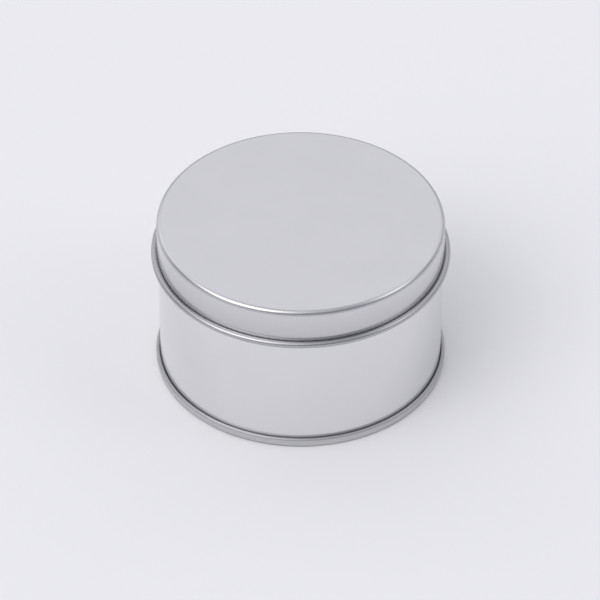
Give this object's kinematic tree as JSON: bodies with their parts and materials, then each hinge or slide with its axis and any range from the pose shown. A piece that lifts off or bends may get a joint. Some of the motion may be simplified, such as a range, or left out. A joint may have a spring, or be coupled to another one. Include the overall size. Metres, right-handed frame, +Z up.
{
  "type": "round slip-lid tin",
  "caption": "Round tinplate box with a flat lift-off slip lid, an outward-rolled lid curl, a locked side seam and a recessed, double-seamed base.",
  "frame": {"origin": "centre of the circle that the tin stands on, on the underside of the base seam", "axes": "+Z up through the middle of the lid; the side seam faces +Y, so the front is -Y"},
  "size_m": [0.0782, 0.078, 0.045],
  "materials": {
    "lid_tinplate": "satin, bare tinplate with a faint rolling grain",
    "wall_tinplate": "satin, bare tinplate with the rolling grain running round the wall",
    "base_tinplate": "satin, bare tinplate, slightly duller than the lid"
  },
  "bodies": {
    "body": {"body_wall": "wall_tinplate", "base": "base_tinplate"},
    "lid": {"lid": "lid_tinplate"}
  },
  "joints": [
    {"name": "lid_lift", "type": "slide", "parent": "body", "child": "lid", "axis": [0, 0, 1], "range_m": [0, 0.08]}
  ]
}
